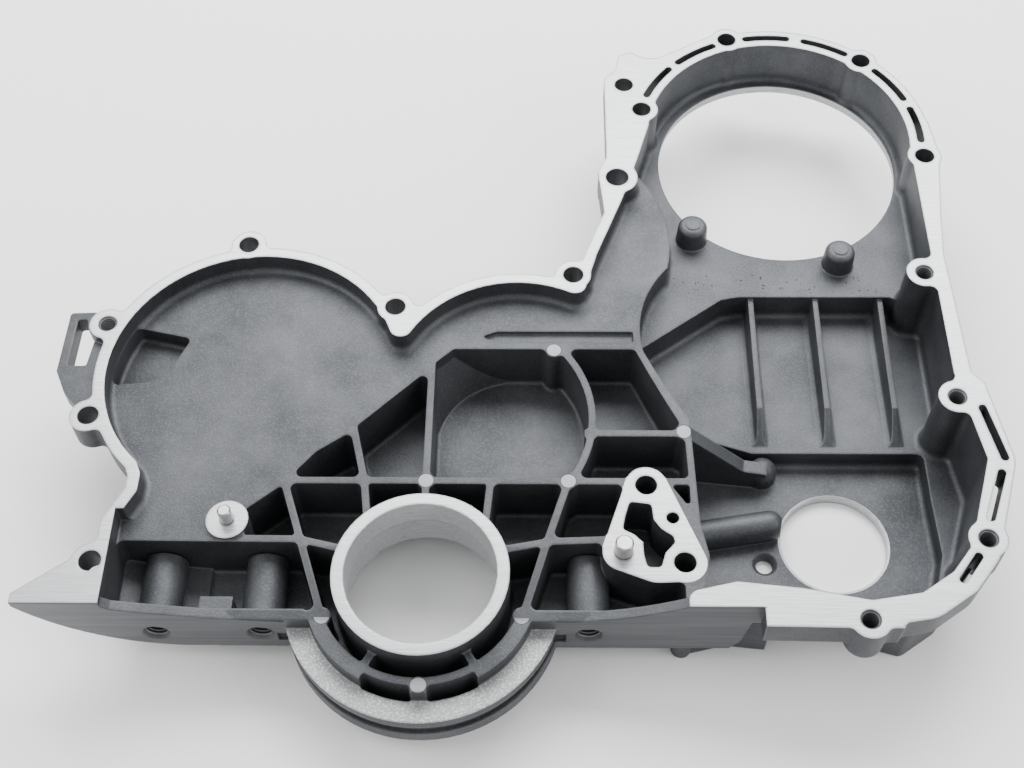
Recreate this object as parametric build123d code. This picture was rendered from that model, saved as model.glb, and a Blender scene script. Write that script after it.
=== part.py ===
import os
from math import atan2, cos, degrees, hypot, radians, sin

from build123d import *

# Frame in millimetres: the crankshaft bore axis is Z, X runs across the engine, Y up it.
# Every level below is measured from the machined rim that seals on the engine, +Z out of it.
# The finished part is lifted so that the origin lies halfway along the crank bore's wall.

# Crankshaft bore, its ring and the half-round lip below it
bore_r = 37
bore_step_r = 39
bore_step_z = -24
crank_face_z = -49.5
crank_mouth = 4
ring_r = 43
ring_top = -7
web_ring_r = 51.5
web_ring_top = -17
lip_inner_r = 58
lip_r = 68.5
lip_top = -26
rim_height = -(ring_top + bore_step_z) / 2
groove_z = -36
groove_width = 8
groove_depth = 3

# Levels of the floors, measured from the rim, and the walls under them
web_z = -12
rim_back = -16
shelf_z = -28
pocket_z = -43.5
basin_z = -45
low_z = -57
front_z = -48
skin = 5
rib_width = 3.6
foot_r = 3
corner_r = 4
narrow_cell = 1.6
wide_cell = 5
ramp_at = (44.4, 91.4)
ramp_r = 42.5
ramp_run = 20

# Gear chambers that the rim follows
lobe_at = (-93.2, 112.5)
lobe_r = 75.4
arch_at = (44.9, 105.7)
arch_r = 64.4
pump_at = (195, 278.4)
pump_wall_r = 75.4
pump_bore_at = (197, 278)
pump_bore_r = 69.6
bore_relief = 0.9
pump_rim_r = 88
pump_flange_z = -34
pump_flange_width = 9
pump_spigot_depth = 3
basin_right = 270
thin_band = 6
wide_band = 13.5
slot_width = 4.2
slot_r = 82
top_slots = ((147, 18), (123, 18), (90.3, 17.3), (65, 18), (31, 18.7), (6.5, 17.4))
side_slots = (((281, 90), (287, 61)), ((284, 52), (274.5, 27)), ((265, 6), (256, -6)))

# Sump face below the crankshaft
sump_y = -21
sump_plate = 5
sump_left = -192
sump_right = 155
sump_end = 162
sump_front_z = -46.5
sump_tap_r = 5.2
sump_mouth_r = 7
sump_tap_depth = 22
sump_tap_z = -32.5
sump_taps = (-129, -78, 81)
sump_boss_r = 10.5
sump_block_z = -24

# Holes in the rim and the round metal about them
bolt_r = 5.5
ear_r = 9.6
tap_r = 4
dowel_hole_r = 6.5
dowel_hole_at = (100.7, 246.3)
wall_bolts = [(170.6, 359), (250.1, 340.5), (277.2, 262.9)]
passage_bolts = [(106.7, 320.3), (116.5, 300)]
lobe_bolts = [((-103.7, 196.3), 9.0553), ((-20.3, 153.6), 8.2876), ((-173.1, 83.9), 9.4644)]
arch_bolt = ((75, 175.5), 11.6135)
foot_bolt = (-157.4, 1.4)
wall_taps = [(264.6, 177.7), (269.5, 97), (271.3, 15.7), (210.1, -26.7)]
lobe_tap = ((-173, 142), 9.6781)
tap_depth = 18

# Port pad between the ribs and the basin
port_top = (110.3, 51.2)
port_side = (122.7, 32.6)
port_low = (127.5, 8.2)
port_pin = (98, 13.8)
port_foot = (114.5, 11.3)
port_foot_r = 14
port_r = 10.3
port_side_r = 3.2

# Side lug, the recess in the lobe and the groove in the arch
lug_top = -5
lug_low = -15
recess_z = -22
groove_deep = 2.5

# Pads on the ribs, and the ribs, gusset and posts in the basin
pads = [(0, 53.3), (71.5, 53.3), (130.8, 82.8), (64.5, 133.8), (-46.8, -19), (48.7, -18.5), (1, -53.4)]
pad_r = 4.4
basin_ribs = (174.8, 210.8, 246.8)
basin_rib_top = -34
basin_rib_start = 192
basin_rib_end = 94
basin_step = 182
gusset_end = (175.5, 82)
gusset_end_r = 7.5
gusset_end_z = -50.5
low_step = 90
pump_posts = [(143.8, 223.6), (225.3, 205.5)]
post_r = 8.9
post_top = -14
post_cap_r = 4.2

# Openings and the oil way in the basin's low floor
low_bore_at = (210.3, 42.4)
low_bore_r = 27.7
oil_way_from = (120, 40.2, -52)
oil_way_r = 8
oil_way_length = 57.5
oil_way_turn = 10
drain_at = (173.4, 30.3)
drain_r = 4.5

# Steel pins
pin_boss_at = (-97, 29.5)
pin_boss_r = 10.5
pin_boss_top = -10
pin_r = 3.4
dowel_r = 4.5
pin_stand = 9.5
pin_sunk = 12
neck_half = 0.5
neck_depth = 0.3


def disc(at, r):
    return Pos(*at) * Circle(r)


def outside(centre, r, toward, gap):
    """The place that lies a gap outside a circle, on the line from its centre towards a point."""
    run = (toward[0] - centre[0], toward[1] - centre[1])
    reach = (r + gap) / hypot(*run)
    return centre[0] + run[0] * reach, centre[1] + run[1] * reach


def poly(*points):
    return make_face(Polyline(*points, close=True))


def bar(start, end, width):
    """A straight strip between two points."""
    run = (end[0] - start[0], end[1] - start[1])
    middle = ((start[0] + end[0]) / 2, (start[1] + end[1]) / 2)
    return Pos(*middle) * Rot(0, 0, degrees(atan2(run[1], run[0]))) * Rectangle(hypot(*run), width)


def prism(face, low, high):
    return extrude(Pos(0, 0, low) * face, amount=high - low)


def rod(at, r, low, high):
    return prism(disc(at, r), low, high)


def rounded(face, r):
    """Rounds the outer corners of a face."""
    return offset(offset(face, -r), r)


def blended(face, r):
    """Rounds the inner corners of a face."""
    return offset(offset(face, r), -r)


def hollow(face, low, high, corner, foot, ease=fillet):
    """A cast hollow: round upright corners and an eased foot."""
    block = prism(rounded(face, corner), low, high)
    return ease(block.edges().filter_by_position(Axis.Z, low, low), foot)


def chamber():
    """The opening inside the rim, as the engine sees it, before the ears reach into it."""
    left = poly((-150, 70), (-141, 50), (-141, 40), (-150, 22), (-150, -40), (127, -40), (127, -10),
                (200, 20), (200, 160), (60, 150), (-60, 120))
    passage = poly((60, 150), (80, 161.5), (88, 190), (103, 230), (113, 262), (121.5, 292), (195, 278),
                   (195, 100))
    right = poly((120, 262), (basin_right, 278), (basin_right, 112), (278.5, 60), (263, 12), (195, 12),
                 (120, 40))
    foot = poly((126, 40), (126, -13.5), (150, -7.8), (180, -11), (212, -17), (236, -13), (252, -2), (263, 12))
    rounds = disc(lobe_at, lobe_r) + disc(arch_at, arch_r) + disc(pump_at, pump_wall_r)
    return rounded(blended(rounds + left + passage + right + foot, 6), corner_r)


def plate_holes():
    """The bolt holes of the thin rim, those beside a gear chamber at their gap from its wall."""
    beside = [outside(lobe_at, lobe_r, *bolt) for bolt in lobe_bolts] + [outside(arch_at, arch_r, *arch_bolt)]
    return passage_bolts + beside


def tapped_holes():
    return wall_taps + [outside(lobe_at, lobe_r, *lobe_tap)]


def below_sump():
    return poly((-300, sump_y), (sump_end, sump_y), (sump_end, -100), (-300, -100))


def rim_outline(inside):
    """The rim's outer edge: a thin band round the lobe and arch, a wide one round the basin."""
    thin = offset(inside, thin_band)
    wide = offset(inside, wide_band) & poly((255, 112), (279, 112), (300, 88), (300, -60), (235, -60),
                                            (140, -20), (140, 20))
    block = poly((93, 219), (90, 250), (95, 262), (95, 325), (102, 333), (104, 345), (111, 348), (120, 343),
                 (128, 343), (160, 362), (195, 340), (130, 270))
    side = poly((240, 300), (283, 290), (286, 265), (284, 250), (280, 220), (277, 190), (279, 112), (240, 112))
    foot = poly((-150, 14), (-166, 3), (sump_left, -16), (sump_left, sump_y), (-150, sump_y))
    end = poly((126, -5), (126, -30), (200, -31), (225, -31), (225, -5))
    outline = thin + wide + disc(pump_at, pump_rim_r) + block + side + foot + end
    for at in plate_holes() + wall_bolts + [foot_bolt] + tapped_holes():
        outline += disc(at, ear_r)
    outline += disc(dowel_hole_at, ear_r + 1)
    return blended(outline, 4) - below_sump()


def ears():
    """Round metal left standing inside the rim at each hole."""
    inner = disc(dowel_hole_at, ear_r + 2)
    for at in plate_holes() + wall_bolts + [foot_bolt] + wall_taps:
        inner += disc(at, ear_r)
    return inner


def basin_side():
    """Everything to the right of the wavy wall between the arch and the deep basin."""
    wave = [ThreePointArc((100, 272), (124, 238), (127.5, 190)),
            ThreePointArc((127.5, 190), (112.5, 162), (112, 133)),
            ThreePointArc((112, 133), (122, 112), (134.2, 90)),
            Polyline((134.2, 90), (136, 30), (139.5, 12), (137, -4), (128, -12), (128, -60), (340, -60),
                     (340, 420), (100, 420), (100, 272))]
    return make_face(Wire(Curve() + wave))


def port_pad(grow=0):
    r = port_r + grow
    corners = disc(port_top, r) + disc(port_side, r) + disc(port_low, r) + disc(port_pin, r)
    corners += disc(port_foot, port_foot_r + grow)
    return make_hull(corners.edges())


def rib_plan():
    """The ribs, pads and rings that stand between the pockets."""
    ribs = [((0, 40), (0, 124)), ((-72, 53.3), (134, 53.3)), ((80, 81.7), (134, 81.7)),
            ((-39.5, 88), (-31, 53.3)), ((-31, 53.3), (-28, 30)), ((-71.5, 53.3), (-47, -19)),
            ((71.5, 53.3), (49, -19)), ((32.5, 53), (30.5, 30)), ((-160, 20.5), (-61, 20)),
            ((-61, 20), (-38, 14.5)), ((92, 20.5), (62, 19.2)), ((62, 19.2), (38, 14.5)),
            ((0, -web_ring_r), (0, -62))]
    plan = disc((0, 0), ring_r) + disc(pin_boss_at, pin_boss_r) + port_pad()
    for start, end in ribs:
        plan += bar(start, end, rib_width)
    for angle in (-120, -58):
        way = (cos(radians(angle)), sin(radians(angle)))
        plan += bar((40 * way[0], 40 * way[1]), (62 * way[0], 62 * way[1]), rib_width)
    for at in pads:
        plan += disc(at, pad_r)
    round_rib = disc((0, 0), web_ring_r + rib_width / 2) - disc((0, 0), web_ring_r - rib_width / 2)
    plan += round_rib & poly((-60, -19), (60, -19), (60, -70), (-60, -70))
    plan += trace(ThreePointArc((67, 136), (83.8, 98), (72.5, 53.3)), rib_width)
    return plan


def pocket_field():
    """The outline inside which the ribbed pockets lie."""
    edge = Curve() + [Polyline((-92, 10), (-92, 34), (-74, 49), (-57, 70), (-43, 80), (-6, 117), (2, 126),
                               (11, 134.5), (107.5, 134.5)),
                      ThreePointArc((107.5, 134.5), (117, 113), (131, 84)),
                      Polyline((131, 84), (132, 51), (132, 10), (-92, 10))]
    upper = make_face(Wire(edge))
    floor_edge = sump_y + sump_plate + 0.5
    lower = poly((-150, 19.5), (127, 19.5), (127, floor_edge), (-150, floor_edge))
    return upper + lower + disc((0, 0), lip_inner_r)


def pockets():
    """The deep cells between the ribs: narrow ones get tighter corners, and slivers stay solid."""
    cuts = []
    for cell in (pocket_field() - rib_plan()).faces():
        width = cell.area / cell.outer_wire().length
        if width > wide_cell:
            cuts.append(hollow(Sketch() + cell, pocket_z, 1, 3, 2))
        elif width > narrow_cell:
            cuts.append(hollow(Sketch() + cell, pocket_z, 1, 1.5, 1, chamfer))
    return cuts


def shell_outside(inside, basin, mid_zone, low_zone):
    """The outer skin of every region, before the hollows are cut."""
    basin_out = offset(basin, skin)
    outline = rim_outline(inside)
    body = prism(outline + inside - below_sump(), rim_back, 0)
    body += prism(offset(pocket_field(), skin) - below_sump(), front_z, web_z)
    body += prism(basin_out, shelf_z - skin, rim_back)
    body += prism(basin_out & offset(mid_zone, skin), basin_z - skin, rim_back)
    body += prism(basin_out & offset(low_zone, skin), low_z - skin, rim_back)
    for at in wall_bolts:
        body += rod(at, ear_r, shelf_z - skin, rim_back)
    for at in wall_taps:
        body += rod(at, ear_r, -tap_depth - tap_r, rim_back)
    body += rod((0, 0), lip_r, front_z, web_z) & Pos(0, -60, 0) * Box(160, 120, 200)
    return body


def corner_arc():
    """The curve of the cover's lower left corner, seen from below."""
    return ThreePointArc((sump_left, -4), (-156, -36.5), (-108, sump_front_z))


def sump_flange():
    """The flat plate that seals on the sump, thin where its tip runs out to the left."""
    side = Curve() + [Polyline((-154, 0), (sump_left, 0), (sump_left, -4)), corner_arc(),
                      Polyline((-108, sump_front_z), (sump_right - 5, sump_front_z), (sump_right, -38),
                               (sump_right + 3, -17), (sump_end, -17), (sump_end, 0), (128, 0)),
                      ThreePointArc((128, 0), (104, -11), (62, -18)), Line((62, -18), (-62, -19.5)),
                      ThreePointArc((-62, -19.5), (-110, -14), (-146, -7)), Line((-146, -7), (-154, 0))]
    plate = extrude(Pos(0, sump_y + sump_plate, 0) * (Plane.XZ * make_face(Wire(side))), amount=sump_plate)
    for x in sump_taps:
        plate += Pos(x, sump_y, sump_tap_z) * Rot(-90, 0, 0) * Cylinder(
            sump_boss_r, 38, align=(Align.CENTER, Align.CENTER, Align.MIN))
    plate += Pos(-100, sump_y + 7.5, (sump_block_z + pocket_z) / 2) * Box(16, 15, sump_block_z - pocket_z + 2)
    return plate - rod((0, 0), lip_inner_r + 1, -60, 0)


def corner_skin():
    """Metal that follows the curved corner inside the pocket, and the block cleared outside it."""
    band = Curve() + [corner_arc(), Polyline((-108, sump_front_z), (-108, sump_front_z + skin), (-135, -37.5),
                                             (-156, -30), (sump_left, -4))]
    fill = Plane.XZ * (make_face(Wire(band)) & poly((-154, 0), (-154, -60), (-100, -60), (-100, 0)))
    beyond = Curve() + [corner_arc(),
                        Polyline((-108, sump_front_z), (-100, front_z), (-100, -60), (sump_left, -60),
                                               (sump_left, -4))]
    clearing = Plane.XZ * make_face(Wire(beyond))
    return extrude(Pos(0, 19, 0) * fill, amount=19 - sump_y), extrude(Pos(0, 60, 0) * clearing, amount=100)


def sump_hollows():
    """The tapped holes with their chamfered mouths, and the seal groove's square ends."""
    cuts = []
    for x in sump_taps:
        seat = Pos(x, sump_y, sump_tap_z) * Rot(-90, 0, 0)
        cuts.append(seat * Cylinder(sump_tap_r, sump_tap_depth,
                                    align=(Align.CENTER, Align.CENTER, Align.MIN)))
        mouth = Cone(sump_mouth_r, sump_tap_r, sump_mouth_r - sump_tap_r,
                     align=(Align.CENTER, Align.CENTER, Align.MIN))
        cuts.append(seat * mouth)
    for side in (-1, 1):
        cuts.append(Pos(side * (lip_r - 2), sump_y, groove_z) * Box(7, 4, groove_width))
    groove = rod((0, 0), lip_r + 2, groove_z - groove_width / 2, groove_z + groove_width / 2)
    groove -= rod((0, 0), lip_r - groove_depth, groove_z - groove_width, groove_z + groove_width)
    cuts.append(groove & Pos(0, sump_y - 50, 0) * Box(200, 100, 200))
    return cuts


def arch_groove():
    """A long shallow groove in the arch's floor, drawn to a point at its left end."""
    face = poly((25, 142.5), (34, 146), (107, 146), (107, 139), (34, 139))
    return hollow(face, web_z - groove_deep, web_z + 1, 1.2, 1)


def rim_slots():
    """Long slots that lighten the wide part of the rim."""
    cuts = []
    for middle, span in top_slots:
        arc = CenterArc(pump_at, slot_r, middle - span / 2, span)
        cuts.append(prism(SlotArc(arc, slot_width), rim_back - 1, 1))
    for start, end in side_slots:
        ends = disc(start, slot_width / 2) + disc(end, slot_width / 2)
        cuts.append(prism(make_hull(ends.edges()), rim_back - 1, 1))
    return cuts


def raised_faces():
    """The crankshaft ring and the pin boss, which stand proud of the ribs."""
    return [rod((0, 0), ring_r, web_z - 1, ring_top), rod(pin_boss_at, pin_boss_r, web_z - 1, pin_boss_top)]


def side_lug():
    """A cast frame round a long window, hanging from the lobe's rim."""
    outer = poly((-13.4, 153), (-27.1, 152.5), (-27.8, 114.5), (-21.4, 101), (-9.4, 88), (0.6, 100),
                 (-1.4, 140), (-7.4, 150))
    window = poly((-22.4, 148), (-17.4, 148.5), (-15.9, 142), (-10.9, 137), (-12.9, 118), (-22.9, 118))
    beside = Pos(lobe_at[0] - lobe_r, 0, 0)
    return (beside * prism(rounded(outer, 2), lug_low, lug_top),
            beside * prism(rounded(window, 1.5), lug_low - 1, lug_top + 1))


def lobe_recess():
    """A wedge-shaped recess in the lobe's floor, deepest at the rim, with its own skin below."""
    face = poly((-170, 150), (-130, 141), (-138.5, 121), (-147, 112.5), (-172, 110))
    face &= disc(lobe_at, lobe_r - 0.5)
    skin_under = prism(offset(face, skin), recess_z - skin, rim_back + 1)
    return skin_under, hollow(face, recess_z, 1, 3, 2)


def lower_trim():
    """What is cleared above the ribs round the lip, which lie deeper than the others."""
    side = poly((30, web_z), (16, web_z), (sump_y, web_ring_top), (-90, web_ring_top), (-90, 5), (30, 5))
    block = extrude(Pos(-150, 0, 0) * (Plane.YZ * side), amount=276)
    keep = rod((0, 0), ring_r, -60, 10) + prism(port_pad(1), -60, 10) + rod(pin_boss_at, pin_boss_r, -60, 10)
    lip = rod((0, 0), lip_r + 5, lip_top, 5) - rod((0, 0), lip_inner_r - 1, -60, 10)
    lip &= Pos(0, sump_y - 50, 0) * Box(200, 100, 200)
    return [block - keep, lip]


def post(at):
    """A short post on the shelf beside the pump opening, turned with a stepped, domed top."""
    foot = shelf_z - skin / 3
    side = Curve() + [Polyline((0, foot), (post_r, foot), (post_r, shelf_z), (post_r - 0.6, post_top - 4)),
                      ThreePointArc((post_r - 0.6, post_top - 4), (post_r - 1.8, post_top - 1.4),
                                    (post_cap_r, post_top - 0.6)),
                      Polyline((post_cap_r, post_top - 0.6), (post_cap_r, post_top), (0, post_top), (0, foot))]
    return Pos(*at, 0) * revolve(Plane.XZ * make_face(Wire(side)), Axis.Z)


def pocket_ramps():
    """Sloping walls in the corners of the two largest pockets, one conical and one flat."""
    high = web_z - 1
    corner = prism(poly((0, ramp_at[1]), (0, 124), (8, 135.5), (ramp_at[0], 136), ramp_at), pocket_z - 1, high)
    bowl = Cone(ramp_r, ramp_r + (high - pocket_z) / 2, high - pocket_z,
                align=(Align.CENTER, Align.CENTER, Align.MIN))
    run = poly((-3, high), (-3, pocket_z - 1), (ramp_run, pocket_z - 1), (ramp_run, pocket_z), (0, high))
    slope = extrude(Plane((60, 0, 0), x_dir=(0, -1, 0), z_dir=(-1, 0, 0)) * run, amount=60)
    wedge = Pos(-43, 80, 0) * Rot(0, 0, 45) * slope
    cell = prism(poly((-39.5, 88), (-31, 53.3), (0, 53.3), (0, 124), (-6, 117), (-40, 83)), pocket_z - 1, high)
    return [corner - Pos(*ramp_at, pocket_z) * bowl, wedge & cell]


def basin_rib(x):
    """A rib across the deep basin, wide at its foot, that starts on the shelf and runs out on the low step."""
    along = poly((basin_rib_start, shelf_z), (basin_step, shelf_z - 2), (112, basin_rib_top),
                 (basin_rib_end, basin_z), (basin_rib_end, basin_z - 1), (basin_step - 3, basin_z - 1),
                 (basin_step + 3, shelf_z - skin / 2), (basin_rib_start, shelf_z - skin / 2))
    half = rib_width / 2
    across = poly((-half - foot_r, basin_z - 1), (-half - foot_r, basin_z), (-half - 0.9, basin_z + 0.9),
                  (-half, basin_z + foot_r), (-half + 0.5, shelf_z + 1), (half - 0.5, shelf_z + 1),
                  (half, basin_z + foot_r), (half + 0.9, basin_z + 0.9), (half + foot_r, basin_z),
                  (half + foot_r, basin_z - 1))
    reach = half + foot_r + 1
    wide = Pos(-reach, 0, 0) * extrude(Plane.YZ * along, amount=2 * reach)
    section = Pos(0, basin_rib_start, 0) * extrude(Plane.XZ * across, amount=basin_rib_start - basin_rib_end)
    return Pos(x, 0, 0) * (wide & section)


def oil_way():
    """The round oil way that runs from the port pad across the low floor, with a domed end."""
    half = Curve() + [Polyline((0, oil_way_r), (0, 0), (oil_way_length + oil_way_r, 0)),
                      CenterArc((oil_way_length, 0), oil_way_r, 0, 90),
                      Line((oil_way_length, oil_way_r), (0, oil_way_r))]
    return Pos(*oil_way_from) * Rot(0, 0, oil_way_turn) * revolve(make_face(Wire(half)), Axis.X)


def basin_details():
    """The ribs, the gusset with its round end and the oil way that stand on the floor of the deep basin."""
    adds = [basin_rib(x) for x in basin_ribs]
    adds.append(rod(gusset_end, gusset_end_r, low_z - 1, gusset_end_z))
    adds[-1] += Pos(*gusset_end, gusset_end_z) * Sphere(gusset_end_r)
    gusset = poly((0, web_z), (0, low_z), (46, low_z), (46, basin_z + 2), (34, basin_z + 3))
    adds.append(Pos(131, 84, 0) * Rot(0, 0, -6) * extrude(Rot(90, 0, 0) * gusset, amount=rib_width, both=True))
    adds.append(oil_way())
    return adds


def port_cuts():
    """The cored passage in the port pad and the holes round it."""
    core = poly((101.7, 41.7), (112.5, 40.3), (113.3, 31.7), (116.7, 26.7), (122.5, 22.5), (123.3, 19),
                (118.3, 13.3), (116, 5.5), (109.2, 5.5), (107.8, 12), (107.5, 19), (103.3, 23.3),
                (97.8, 26.2), (99.2, 33.3))
    cuts = [prism(rounded(core, 2.2), -40, 0), rod(port_side, port_side_r, -40, 0)]
    for at in (port_top, port_low):
        cuts.append(rod(at, bolt_r, -70, 0))
    cuts.append(rod(port_pin, dowel_r, web_z - pin_sunk, 0))
    return cuts


def round_holes():
    """Bolt holes right through, and tapped holes with their chamfered mouths."""
    cuts = [rod(dowel_hole_at, dowel_hole_r, -80, 1)]
    for at in plate_holes() + wall_bolts + [foot_bolt]:
        cuts.append(rod(at, bolt_r, -80, 1))
    for at in tapped_holes():
        cuts.append(rod(at, tap_r, -tap_depth, 1))
        cuts.append(Pos(*at, 0) * Rot(180, 0, 0) * Cone(tap_r + 1.2, tap_r, 1.2,
                                                         align=(Align.CENTER, Align.CENTER, Align.MIN)))
    cuts.append(rod(drain_at, drain_r, -80, -30))
    cuts.append(Pos(*drain_at, low_z - 1.8) * Cone(drain_r, drain_r + 2.5, 2,
                                                   align=(Align.CENTER, Align.CENTER, Align.MIN)))
    cuts.append(rod(pin_boss_at, pin_r, pin_boss_top - pin_sunk, 1))
    return cuts


def casting():
    inside = chamber()
    basin = inside & basin_side()
    mid_zone = poly((100, 130), (112, 146), (158, basin_step - 2), (168, basin_step), (258, basin_step),
                    (275, 160), (300, 160), (300, -20), (240, -14), (205, -4), (168, -4), (160, -30),
                    (100, -30))
    low_zone = poly((110, 107), (136, 101), (170, low_step), (300, low_step), (300, -20), (240, -14), (205, -4),
                    (168, -4), (160, -30), (100, -30))
    deep_zone = low_zone - poly((261, 200), (261, 60), (262, 30), (255, 5), (255, -60), (300, -60), (300, 200))

    lug, window = side_lug()
    recess_skin, recess = lobe_recess()
    body = shell_outside(inside, basin, mid_zone, low_zone) + lug + recess_skin
    body += rod(pump_bore_at, pump_bore_r + pump_flange_width, pump_flange_z, shelf_z - 1)
    body += rod((0, 0), ring_r + pump_flange_width, crank_face_z, front_z + 1)
    body -= hollow((basin & deep_zone) - ears(), low_z, 1, corner_r, foot_r)
    body -= hollow((basin & mid_zone) - ears(), basin_z, 1, corner_r, foot_r)
    body -= hollow(basin - ears(), shelf_z, 1, corner_r, foot_r)
    body -= hollow(inside - ears(), web_z, 1, corner_r, foot_r)
    body += raised_faces()
    body -= pockets()
    body -= [recess, window]
    fill, beyond = corner_skin()
    body -= lower_trim()
    body += sump_flange() + fill
    body -= beyond
    body += pocket_ramps()
    body += basin_details()
    body -= rod((0, 0), bore_r, -100, 1)
    body -= rod((0, 0), bore_step_r, -100, bore_step_z)
    body -= Pos(0, 0, crank_face_z) * Cone(bore_step_r + crank_mouth, bore_step_r, crank_mouth,
                                           align=(Align.CENTER, Align.CENTER, Align.MIN))
    body -= rod(pump_bore_at, pump_bore_r, -100, 1)
    body -= rod(pump_bore_at, pump_bore_r + bore_relief, -100, pump_flange_z + pump_spigot_depth)
    body += [post(at) for at in pump_posts]
    body -= rod(low_bore_at, low_bore_r, -100, low_z)
    body -= rod(low_bore_at, low_bore_r + bore_relief, low_z - bore_relief / 2, 1)
    body -= sump_hollows()
    body -= port_cuts()
    body -= round_holes()
    body -= arch_groove()
    body -= rim_slots()
    return body


def pin(at, r, seat):
    """A pressed steel pin with chamfered ends."""
    body = chamfer(rod(at, r, seat - pin_sunk, seat + pin_stand).edges().filter_by(GeomType.CIRCLE), 0.8)
    neck = rod(at, r + 1, seat - neck_half, seat + neck_half) - rod(at, r - neck_depth, seat - 1, seat + 1)
    return body - neck


if __name__ == "__main__":
    os.makedirs("parts", exist_ok=True)
    lift = Pos(0, 0, rim_height)
    export_step(lift * casting(), "parts/cover_casting.step")
    export_step(lift * pin(port_pin, dowel_r, web_z), "parts/port_dowel.step")
    export_step(lift * pin(pin_boss_at, pin_r, pin_boss_top), "parts/boss_pin.step")
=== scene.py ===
import math

import bpy
from mathutils import Matrix, Vector


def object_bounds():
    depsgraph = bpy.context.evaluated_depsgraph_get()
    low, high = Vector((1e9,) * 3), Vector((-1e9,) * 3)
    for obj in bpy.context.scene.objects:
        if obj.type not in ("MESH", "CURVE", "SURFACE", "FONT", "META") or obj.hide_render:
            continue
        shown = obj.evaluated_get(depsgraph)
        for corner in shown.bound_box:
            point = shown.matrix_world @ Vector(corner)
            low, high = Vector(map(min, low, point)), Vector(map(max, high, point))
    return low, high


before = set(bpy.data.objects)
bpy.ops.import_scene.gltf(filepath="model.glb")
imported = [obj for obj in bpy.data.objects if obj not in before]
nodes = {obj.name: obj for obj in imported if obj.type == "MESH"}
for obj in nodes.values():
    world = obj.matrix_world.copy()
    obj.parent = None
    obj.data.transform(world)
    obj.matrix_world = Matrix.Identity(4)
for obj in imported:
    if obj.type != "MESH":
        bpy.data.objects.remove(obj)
startLow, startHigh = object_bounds()
print("stage: frame loaded")

# Looks of each material. Colours are linear; lengths are in metres, and noise scales are per millimetre.
castMetal = {
    "skin": (0.078, 0.082, 0.090, 1), "skinDark": (0.038, 0.041, 0.046, 1),
    "skinWorn": (0.135, 0.140, 0.150, 1), "wornShare": 0.22,
    # The edge colour is a painted highlight, a paler tone laid on the cast skin's rounded edges where light would
    # catch them.
    "edge": (0.27, 0.28, 0.29, 1), "edgeHighlightShare": 0.5, "edgeRadius": 0.0016,
    "pore": (0.006, 0.006, 0.007, 1), "skinRough": 0.50,
    "machined": (0.52, 0.53, 0.545, 1), "machinedDark": (0.38, 0.39, 0.40, 1), "machinedRough": 0.36,
    "streakScale": (0.05, 1.4, 0.9), "streakSpread": (0.28, 0.66), "streakHeight": 0.2,
    "sump": (0.090, 0.094, 0.102, 1), "sumpDark": (0.060, 0.064, 0.071, 1),
    "bandScale": (0.02, 0.02, 0.9), "bandDetail": 4.0, "bandSpread": (0.38, 0.62),
    "lip": (0.30, 0.305, 0.31, 1), "lipFleck": (0.58, 0.585, 0.59, 1), "lipShare": 0.7,
    "pad": (0.25, 0.255, 0.265, 1), "padRing": (0.05, 0.052, 0.056, 1), "padRingWidth": 0.7,
    "grainSize": 0.0009, "grainDepth": 0.00022, "cutGrain": 0.12, "threadHeight": 3.0,
    "bumpStrength": 0.7, "metallic": 0.55,
}
pinSteel = {
    "base": (0.50, 0.50, 0.51, 1), "stain": (0.25, 0.24, 0.23, 1), "stainShare": 0.7, "rough": 0.30,
    "edgeRadius": 0.0006, "turningScale": (0.12, 0.12, 2.6), "bumpStrength": 0.3, "bumpDepth": 0.00005,
}
paleFloor = {"colour": (0.98, 0.98, 0.98, 1), "rough": 0.9, "size": 12, "place": (0.05, 0.15), "drop": 0.0005}

# The cast grain's textures: each one's scale as a share of one over the grain's size, and the values that
# its output is spread between.
castGrain = {
    "fine": {"kind": "ShaderNodeTexNoise", "share": 1.0, "detail": 3},
    "broad": {"kind": "ShaderNodeTexNoise", "share": 0.022, "detail": 6, "roughness": 0.62, "spread": (0.34, 0.66)},
    "fleck": {"kind": "ShaderNodeTexNoise", "share": 0.8, "spread": (0.50, 0.62)},
    "pores": {"kind": "ShaderNodeTexVoronoi", "share": 0.30, "spread": (0.16, 0.10)},
}

# How strongly a rounded edge shows the painted highlight, and the samples that find it.
edgeHighlightGain = 3.2
edgeSamples = 4

# Places on the casting, in millimetres. Levels are measured from the rim, which lies above the origin.
# The reaches say how far a marking goes past its level, its wall and its edge.
rimHeight = 15.5
levelReach = 0.2
wallReach = 0.25
edgeReach = 0.3
flatFaces = {
    "crankRing": {"at": (0, 0), "inner": 36, "outer": 43.6, "level": -7},
    "pinBoss": {"at": (-97, 29.5), "inner": 0, "outer": 10.9, "level": -10},
}
halfLip = {"at": (0, 0), "inner": 57.5, "outer": 69, "level": -26}
padCentres = [(0, 53.3), (71.5, 53.3), (130.8, 82.8), (64.5, 133.8), (-46.8, -19), (48.7, -18.5), (1, -53.4)]
padLevels = (-12, -17)
padRadius = 4.4
boredWalls = {
    "crankBore": {"at": (0, 0), "radius": 39.6, "top": 0},
    "pumpOpening": {"at": (197, 278), "radius": 70.7, "top": -28.4},
    "lowerOpening": {"at": (210.3, 42.4), "radius": 28.9, "top": -56.8},
}
portPad = {
    "discs": [((98, 13.8), 10.6), ((114.5, 11.3), 14.3), ((127.5, 8.2), 10.6), ((110.3, 51.2), 10.6)],
    "level": -12, "tangents": 24,
}
rimTaps = {
    "centres": [(264.6, 177.7), (269.5, 97), (271.3, 15.7), (210.1, -26.7), (-173, 142)],
    "radius": 4.0, "pitch": 1.5,
}
sumpTaps = {"places": [-129, -78, 81], "level": -32.5, "radius": 5.2, "pitch": 1.75, "end": 1.5}
sumpFace = -21
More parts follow.
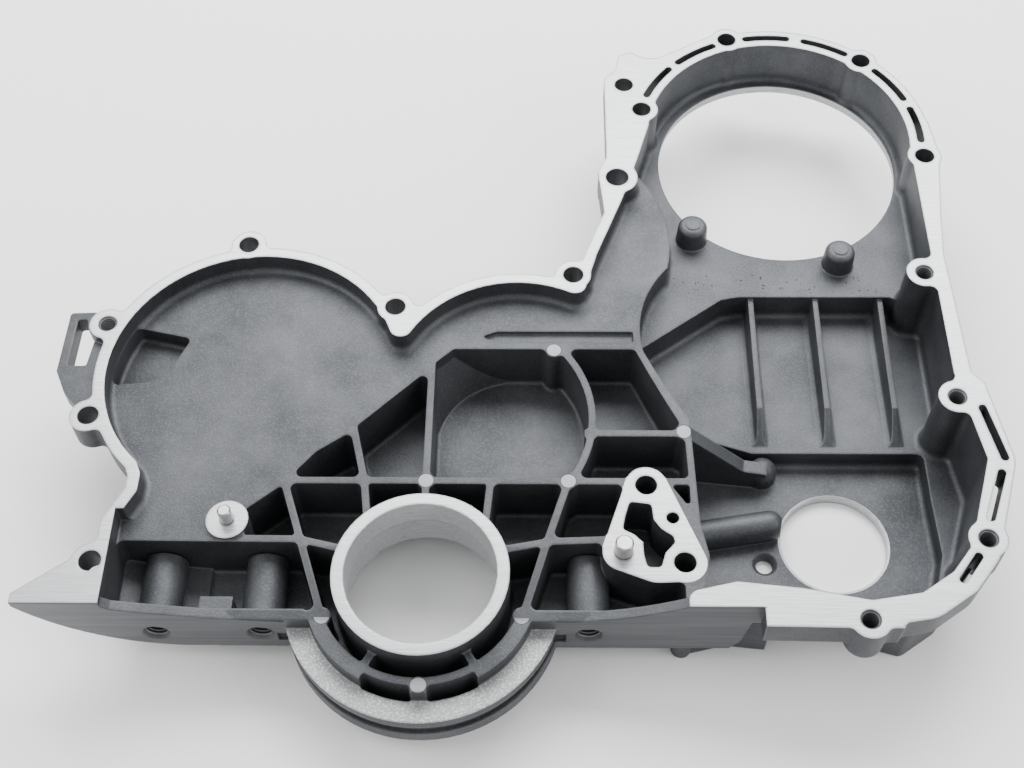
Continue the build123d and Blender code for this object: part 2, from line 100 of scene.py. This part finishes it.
sumpBox = {"low": (-200, sumpFace - levelReach, -60), "high": (163, sumpFace + levelReach, 1)}
porousBand = {"low": (128, 184, -30), "high": (246, 200, -26)}

# Lights stand round the middle of the part; places are in metres from it, but for the height.
softboxes = {
    "topSoftbox": {"across": 0.1, "along": 0.9, "height": 1.1, "size": (1.6, 0.9), "power": 46},
    "leftSoftbox": {"across": -1.2, "along": -0.1, "height": 0.9, "size": (0.8, 1.2), "power": 12},
    "rightSoftbox": {"across": 1.2, "along": -0.4, "height": 0.8, "size": (0.6, 1.0), "power": 8},
}
worldStrength = 0.85

# The camera stands where the photo's perspective puts it; turn and tip are in degrees.
view = {
    "place": (0.0569, -0.3119, 0.612), "forward": (0, 0.5621, -0.8271), "turn": 1.955, "tip": 1.45,
    "sensor": 36, "lens": 50.6, "far": 20,
}


def newNode(tree, kind, **values):
    node = tree.nodes.new(kind)
    for name, value in values.items():
        setattr(node, name, value)
    return node


def feed(tree, socket, value):
    if isinstance(value, (int, float, tuple)):
        socket.default_value = value
    else:
        tree.links.new(value, socket)


def doMath(tree, operation, a, b=None, clamp=False):
    node = newNode(tree, "ShaderNodeMath", operation=operation, use_clamp=clamp)
    for socket, value in zip(node.inputs, (a, b)):
        if value is not None:
            feed(tree, socket, value)
    return node.outputs[0]


def mixColour(tree, factor, a, b):
    node = newNode(tree, "ShaderNodeMix", data_type="RGBA")
    for index, value in ((0, factor), (6, a), (7, b)):
        feed(tree, node.inputs[index], value)
    return node.outputs[2]


def mixFloat(tree, factor, a, b):
    node = newNode(tree, "ShaderNodeMix", data_type="FLOAT")
    for index, value in ((0, factor), (2, a), (3, b)):
        feed(tree, node.inputs[index], value)
    return node.outputs[0]


def spread(tree, value, low, high):
    # From 0 at low to 1 at high, held between them.
    node = newNode(tree, "ShaderNodeMapRange")
    feed(tree, node.inputs["Value"], value)
    node.inputs["From Min"].default_value = low
    node.inputs["From Max"].default_value = high
    return node.outputs[0]


def stretchedNoise(tree, position, scale, detail=2.0):
    stretch = newNode(tree, "ShaderNodeMapping")
    stretch.inputs["Scale"].default_value = scale
    noise = newNode(tree, "ShaderNodeTexNoise")
    noise.inputs["Scale"].default_value = 1
    noise.inputs["Detail"].default_value = detail
    tree.links.new(position, stretch.inputs[0])
    tree.links.new(stretch.outputs[0], noise.inputs["Vector"])
    return noise.outputs[0]


def newGroup(name, inputs, outputs):
    tree = bpy.data.node_groups.new(name, "ShaderNodeTree")
    for label, kind, value in inputs:
        socket = tree.interface.new_socket(label, in_out="INPUT", socket_type=kind)
        if value is not None:
            socket.default_value = value
    for label, kind in outputs:
        tree.interface.new_socket(label, in_out="OUTPUT", socket_type=kind)
    return tree, newNode(tree, "NodeGroupInput"), newNode(tree, "NodeGroupOutput")


def useGroup(tree, group, values):
    node = newNode(tree, "ShaderNodeGroup", node_tree=group)
    for label, value in values.items():
        feed(tree, node.inputs[label], value)
    return node


def radiusFrom(tree, split, x, y):
    across = doMath(tree, "SUBTRACT", split.outputs[0], x)
    along = doMath(tree, "SUBTRACT", split.outputs[1], y)
    squares = doMath(tree, "ADD", doMath(tree, "MULTIPLY", across, across), doMath(tree, "MULTIPLY", along, along))
    return doMath(tree, "SQRT", squares)


def nearLevel(tree, height, level):
    # 1 within a small reach of a level.
    away = doMath(tree, "ABSOLUTE", doMath(tree, "SUBTRACT", height, level))
    return doMath(tree, "LESS_THAN", away, levelReach)


def makeRingGroup():
    # 1 on a flat ring or disc at one level, 0 away from it.
    inputs = [("Position", "NodeSocketVector", None), ("Centre X", "NodeSocketFloat", 0.0),
              ("Centre Y", "NodeSocketFloat", 0.0), ("Inner", "NodeSocketFloat", 0.0),
              ("Outer", "NodeSocketFloat", 10.0), ("Level", "NodeSocketFloat", 0.0)]
    tree, start, end = newGroup("flatRing", inputs, [("Mask", "NodeSocketFloat")])
    split = newNode(tree, "ShaderNodeSeparateXYZ")
    tree.links.new(start.outputs["Position"], split.inputs[0])
    r = radiusFrom(tree, split, start.outputs["Centre X"], start.outputs["Centre Y"])
    inside = doMath(tree, "MULTIPLY", doMath(tree, "GREATER_THAN", r, start.outputs["Inner"]),
                    doMath(tree, "LESS_THAN", r, start.outputs["Outer"]))
    mask = doMath(tree, "MULTIPLY", inside, nearLevel(tree, split.outputs[2], start.outputs["Level"]))
    tree.links.new(mask, end.inputs["Mask"])
    return tree


def makeThreadGroup():
    # Turns of a thread on the wall of a hole whose axis is Z.
    inputs = [("Position", "NodeSocketVector", None), ("Centre X", "NodeSocketFloat", 0.0),
              ("Centre Y", "NodeSocketFloat", 0.0), ("Radius", "NodeSocketFloat", 4.0),
              ("Pitch", "NodeSocketFloat", 1.5)]
    tree, start, end = newGroup("threadedWall", inputs, [("Mask", "NodeSocketFloat"), ("Height", "NodeSocketFloat")])
    split = newNode(tree, "ShaderNodeSeparateXYZ")
    tree.links.new(start.outputs["Position"], split.inputs[0])
    r = radiusFrom(tree, split, start.outputs["Centre X"], start.outputs["Centre Y"])
    mask = doMath(tree, "LESS_THAN", r, doMath(tree, "ADD", start.outputs["Radius"], wallReach))
    turns = doMath(tree, "DIVIDE", split.outputs[2], start.outputs["Pitch"])
    wave = doMath(tree, "SINE", doMath(tree, "MULTIPLY", turns, 2 * math.pi))
    wave = doMath(tree, "ADD", doMath(tree, "MULTIPLY", wave, 0.5), 0.5)
    tree.links.new(mask, end.inputs["Mask"])
    tree.links.new(wave, end.inputs["Height"])
    return tree


def makeGrainGroup():
    # Sand-like grain as a height, a broad tone, fine flecks and scattered pores.
    outputs = {"Height": "fine", "Tone": "broad", "Fleck": "fleck", "Pores": "pores"}
    inputs = [("Position", "NodeSocketVector", None), ("Size", "NodeSocketFloat", 1.0)]
    tree, start, end = newGroup("castGrain", inputs, [(label, "NodeSocketFloat") for label in outputs])
    scale = doMath(tree, "DIVIDE", 1.0, start.outputs["Size"])
    for label, name in outputs.items():
        made = castGrain[name]
        texture = newNode(tree, made["kind"])
        tree.links.new(start.outputs["Position"], texture.inputs["Vector"])
        tree.links.new(doMath(tree, "MULTIPLY", scale, made["share"]), texture.inputs["Scale"])
        if "detail" in made:
            texture.inputs["Detail"].default_value = made["detail"]
        if "roughness" in made:
            texture.inputs["Roughness"].default_value = made["roughness"]
        value = texture.outputs[0]
        if "spread" in made:
            value = spread(tree, value, *made["spread"])
        tree.links.new(value, end.inputs[label])
    return tree


def makeEdgeGroup():
    # How near a sharp edge is, from 0 to 1, and the rounded normal there.
    tree, start, end = newGroup("softEdge", [("Radius", "NodeSocketFloat", 0.001)],
                                [("Edge", "NodeSocketFloat"), ("Normal", "NodeSocketVector")])
    bevel = newNode(tree, "ShaderNodeBevel", samples=edgeSamples)
    tree.links.new(start.outputs["Radius"], bevel.inputs["Radius"])
    geometry = newNode(tree, "ShaderNodeNewGeometry")
    dot = newNode(tree, "ShaderNodeVectorMath", operation="DOT_PRODUCT")
    tree.links.new(bevel.outputs[0], dot.inputs[0])
    tree.links.new(geometry.outputs["Normal"], dot.inputs[1])
    bend = doMath(tree, "MULTIPLY", doMath(tree, "SUBTRACT", 1.0, dot.outputs["Value"]), edgeHighlightGain, clamp=True)
    tree.links.new(bend, end.inputs["Edge"])
    tree.links.new(bevel.outputs[0], end.inputs["Normal"])
    return tree


ringGroup = makeRingGroup()
threadGroup = makeThreadGroup()
grainGroup = makeGrainGroup()
edgeGroup = makeEdgeGroup()


def newMaterial(name):
    material = bpy.data.materials.new(name)
    material.use_nodes = True
    tree = material.node_tree
    tree.nodes.clear()
    shader = newNode(tree, "ShaderNodeBsdfPrincipled")
    output = newNode(tree, "ShaderNodeOutputMaterial")
    tree.links.new(shader.outputs[0], output.inputs[0])
    return material, tree, shader


def partPosition(tree):
    # The part's own place in millimetres, with the rim at level 0.
    scale = newNode(tree, "ShaderNodeVectorMath", operation="MULTIPLY_ADD")
    tree.links.new(newNode(tree, "ShaderNodeTexCoord").outputs["Object"], scale.inputs[0])
    scale.inputs[1].default_value = (1000, 1000, 1000)
    scale.inputs[2].default_value = (0, 0, -rimHeight)
    split = newNode(tree, "ShaderNodeSeparateXYZ")
    tree.links.new(scale.outputs[0], split.inputs[0])
    return scale.outputs[0], split


def largest(tree, masks):
    total = masks[0]
    for mask in masks[1:]:
        total = doMath(tree, "MAXIMUM", total, mask)
    return total


def ringMask(tree, position, at, inner, outer, level):
    values = {"Position": position, "Centre X": float(at[0]), "Centre Y": float(at[1]), "Inner": float(inner),
              "Outer": float(outer), "Level": float(level)}
    return useGroup(tree, ringGroup, values).outputs["Mask"]


def portPadMask(tree, split):
    # The pad's face is the hull of its discs: it lies inside each tangent line round them.
    discs = [(Vector(at), r) for at, r in portPad["discs"]]
    angles = [step * 2 * math.pi / portPad["tangents"] for step in range(portPad["tangents"])]
    outs = [Vector((math.cos(angle), math.sin(angle))) for angle in angles]
    for (first, firstR), (second, secondR) in zip(discs, discs[1:] + discs[:1]):
        run = second - first
        lean = math.asin((firstR - secondR) / run.length)
        outs.append(Matrix.Rotation(lean, 2) @ Vector((run.y, -run.x)).normalized())
    sides = []
    for out in outs:
        side = doMath(tree, "ADD", doMath(tree, "MULTIPLY", split.outputs[0], out.x),
                      doMath(tree, "MULTIPLY", split.outputs[1], out.y))
        sides.append(doMath(tree, "SUBTRACT", side, max(out.dot(at) + r for at, r in discs)))
    inside = doMath(tree, "LESS_THAN", largest(tree, sides), 0.0)
    return doMath(tree, "MULTIPLY", inside, nearLevel(tree, split.outputs[2], portPad["level"]))


def insideBox(tree, split, low, high):
    mask = None
    for axis in range(3):
        span = doMath(tree, "MULTIPLY", doMath(tree, "GREATER_THAN", split.outputs[axis], low[axis]),
                      doMath(tree, "LESS_THAN", split.outputs[axis], high[axis]))
        mask = span if mask is None else doMath(tree, "MULTIPLY", mask, span)
    return mask


def threadMasks(tree, position, split):
    # Threads in the rim's blind holes, then in the sump face's, whose axes run along Y.
    turned = newNode(tree, "ShaderNodeCombineXYZ")
    for index, source in enumerate((0, 2, 1)):
        tree.links.new(split.outputs[source], turned.inputs[index])
    inPlate = doMath(tree, "LESS_THAN", split.outputs[1], sumpTaps["end"])
    inRim = doMath(tree, "LESS_THAN", split.outputs[2], -edgeReach)
    holes = [(position, at, rimTaps, inRim) for at in rimTaps["centres"]]
    holes += [(turned.outputs[0], (x, sumpTaps["level"]), sumpTaps, inPlate) for x in sumpTaps["places"]]
    masks, heights = [], []
    for place, at, kind, span in holes:
        values = {"Position": place, "Centre X": float(at[0]), "Centre Y": float(at[1]),
                  "Radius": kind["radius"], "Pitch": kind["pitch"]}
        use = useGroup(tree, threadGroup, values)
        masks.append(doMath(tree, "MULTIPLY", use.outputs["Mask"], span))
        heights.append(doMath(tree, "MULTIPLY", masks[-1], use.outputs["Height"]))
    return largest(tree, masks), largest(tree, heights)


def makeCastMetal():
    look = castMetal
    material, tree, shader = newMaterial("castAluminium")
    position, split = partPosition(tree)
    grain = useGroup(tree, grainGroup, {"Position": position, "Size": look["grainSize"] * 1000})
    edge = useGroup(tree, edgeGroup, {"Radius": look["edgeRadius"]})
    threads, turns = threadMasks(tree, position, split)
    notThread = doMath(tree, "SUBTRACT", 1.0, threads)

    onRim = doMath(tree, "GREATER_THAN", split.outputs[2], -levelReach)
    flats = [ringMask(tree, position, **ring) for ring in flatFaces.values()]
    bores = []
    for bore in boredWalls.values():
        within = doMath(tree, "LESS_THAN", radiusFrom(tree, split, *bore["at"]), bore["radius"])
        bores.append(doMath(tree, "MULTIPLY", within, doMath(tree, "LESS_THAN", split.outputs[2], bore["top"])))
    machined = largest(tree, [onRim, portPadMask(tree, split)] + flats + bores)
    onSump = insideBox(tree, split, sumpBox["low"], sumpBox["high"])
    beyondLip = doMath(tree, "GREATER_THAN", radiusFrom(tree, split, *halfLip["at"]), halfLip["inner"])
    onSump = doMath(tree, "MULTIPLY", doMath(tree, "MULTIPLY", onSump, beyondLip), notThread)
    belowSump = doMath(tree, "LESS_THAN", split.outputs[1], sumpFace + edgeReach)
    onLip = doMath(tree, "MULTIPLY", ringMask(tree, position, **halfLip), belowSump)
    padPlaces = [(at, level) for at in padCentres for level in padLevels]
    padCore = padRadius - look["padRingWidth"]
    pads = largest(tree, [ringMask(tree, position, at, 0, padRadius, level) for at, level in padPlaces])
    padEdges = largest(tree, [ringMask(tree, position, at, padCore, padRadius, level) for at, level in padPlaces])

    # The cast skin: mottled, paler where it is worn, porous along one edge of the basin.
    skin = mixColour(tree, grain.outputs["Tone"], look["skinDark"], look["skin"])
    worn = doMath(tree, "MULTIPLY", grain.outputs["Fleck"], look["wornShare"])
    skin = mixColour(tree, worn, skin, look["skinWorn"])
    porous = insideBox(tree, split, porousBand["low"], porousBand["high"])
    pores = doMath(tree, "MULTIPLY", grain.outputs["Pores"], porous)
    skin = mixColour(tree, pores, skin, look["pore"])
    # Painted highlight: the skin is painted paler along its edges, where light catches them.
    skin = mixColour(tree, doMath(tree, "MULTIPLY", edge.outputs["Edge"], look["edgeHighlightShare"]), skin, look["edge"])
    skin = mixColour(tree, pads, skin, look["pad"])
    skin = mixColour(tree, padEdges, skin, look["padRing"])

    # The cut faces: milling streaks on the rim, a duller sump face, flecks on the half lip.
    streaks = stretchedNoise(tree, position, look["streakScale"])
    bands = stretchedNoise(tree, position, look["bandScale"], look["bandDetail"])
    rim = mixColour(tree, spread(tree, streaks, *look["streakSpread"]), look["machinedDark"], look["machined"])
    sump = mixColour(tree, spread(tree, bands, *look["bandSpread"]), look["sumpDark"], look["sump"])
    flecks = doMath(tree, "MULTIPLY", grain.outputs["Fleck"], look["lipShare"])
    lip = mixColour(tree, flecks, look["lip"], look["lipFleck"])
    colour = mixColour(tree, machined, skin, rim)
    colour = mixColour(tree, onSump, colour, sump)
    colour = mixColour(tree, onLip, colour, lip)
    colour = mixColour(tree, threads, colour, mixColour(tree, turns, look["skinDark"], look["pad"]))
    tree.links.new(colour, shader.inputs["Base Color"])

    cut = largest(tree, [machined, onSump])
    tree.links.new(mixFloat(tree, cut, look["skinRough"], look["machinedRough"]), shader.inputs["Roughness"])
    shader.inputs["Metallic"].default_value = look["metallic"]
    grains = doMath(tree, "MULTIPLY", grain.outputs["Height"], mixFloat(tree, cut, 1.0, look["cutGrain"]))
    height = doMath(tree, "SUBTRACT", grains, pores)
    height = doMath(tree, "ADD", height, doMath(tree, "MULTIPLY", turns, look["threadHeight"]))
    milled = doMath(tree, "MULTIPLY", doMath(tree, "MULTIPLY", streaks, machined), look["streakHeight"])
    height = doMath(tree, "ADD", height, milled)
    bump = newNode(tree, "ShaderNodeBump")
    bump.inputs["Strength"].default_value = look["bumpStrength"]
    bump.inputs["Distance"].default_value = look["grainDepth"]
    tree.links.new(height, bump.inputs["Height"])
    tree.links.new(edge.outputs["Normal"], bump.inputs["Normal"])
    tree.links.new(bump.outputs[0], shader.inputs["Normal"])
    return material


def makePinSteel():
    look = pinSteel
    material, tree, shader = newMaterial("groundSteel")
    position = partPosition(tree)[0]
    edge = useGroup(tree, edgeGroup, {"Radius": look["edgeRadius"]})
    turning = stretchedNoise(tree, position, look["turningScale"])
    stain = doMath(tree, "MULTIPLY", turning, look["stainShare"])
    tree.links.new(mixColour(tree, stain, look["base"], look["stain"]), shader.inputs["Base Color"])
    shader.inputs["Metallic"].default_value = 1
    shader.inputs["Roughness"].default_value = look["rough"]
    bump = newNode(tree, "ShaderNodeBump")
    bump.inputs["Strength"].default_value = look["bumpStrength"]
    bump.inputs["Distance"].default_value = look["bumpDepth"]
    tree.links.new(turning, bump.inputs["Height"])
    tree.links.new(edge.outputs["Normal"], bump.inputs["Normal"])
    tree.links.new(bump.outputs[0], shader.inputs["Normal"])
    return material


castMaterial = makeCastMetal()
steelMaterial = makePinSteel()
for name, node in nodes.items():
    node.data.materials.clear()
    node.data.materials.append(castMaterial if name == "cover_casting" else steelMaterial)
print("stage: materials made")


def makeFloor():
    material, tree, shader = newMaterial("paleFloor")
    shader.inputs["Base Color"].default_value = paleFloor["colour"]
    shader.inputs["Roughness"].default_value = paleFloor["rough"]
    place = (*paleFloor["place"], startLow.z - paleFloor["drop"])
    bpy.ops.mesh.primitive_plane_add(size=paleFloor["size"], location=place)
    floor = bpy.context.object
    floor.name = "floor"
    floor.data.materials.append(material)


def addLight(name, box, target):
    data = bpy.data.lights.new(name, "AREA")
    data.shape = "RECTANGLE"
    data.size, data.size_y = box["size"]
    data.energy = box["power"]
    place = Vector((target.x + box["across"], target.y + box["along"], box["height"]))
    light = bpy.data.objects.new(name, data)
    light.location = place
    light.rotation_euler = (target - place).to_track_quat("-Z", "Y").to_euler()
    bpy.context.scene.collection.objects.link(light)


def makeWorld(strength):
    world = bpy.data.worlds.new("studio")
    world.use_nodes = True
    world.node_tree.nodes["Background"].inputs[0].default_value = (1, 1, 1, 1)
    world.node_tree.nodes["Background"].inputs[1].default_value = strength
    bpy.context.scene.world = world


def makeCamera():
    # Leaned forward, tipped in its own picture, then turned about the upright.
    camera = bpy.data.objects.new("camera", bpy.data.cameras.new("camera"))
    camera.data.sensor_width = view["sensor"]
    camera.data.lens = view["lens"]
    camera.data.clip_end = view["far"]
    tip = math.radians(view["tip"])
    spin = Matrix.Rotation(math.radians(view["turn"]), 3, "Z")
    forward = Vector(view["forward"])
    right = Vector((1, 0, 0))
    imageRight = right * math.cos(tip) + forward.cross(right) * math.sin(tip)
    forward = (spin @ forward).normalized()
    imageRight = (spin @ imageRight).normalized()
    imageUp = imageRight.cross(forward)
    place = Vector(view["place"]) + Vector((0, 0, rimHeight / 1000))
    turned = Matrix((imageRight, imageUp, -forward)).transposed().to_4x4()
    camera.matrix_world = Matrix.Translation(place) @ turned
    bpy.context.scene.collection.objects.link(camera)
    bpy.context.scene.camera = camera


makeFloor()
for name, box in softboxes.items():
    addLight(name, box, (startLow + startHigh) / 2)
makeWorld(worldStrength)
print("stage: floor and lights made")
makeCamera()

print("stage: camera set")
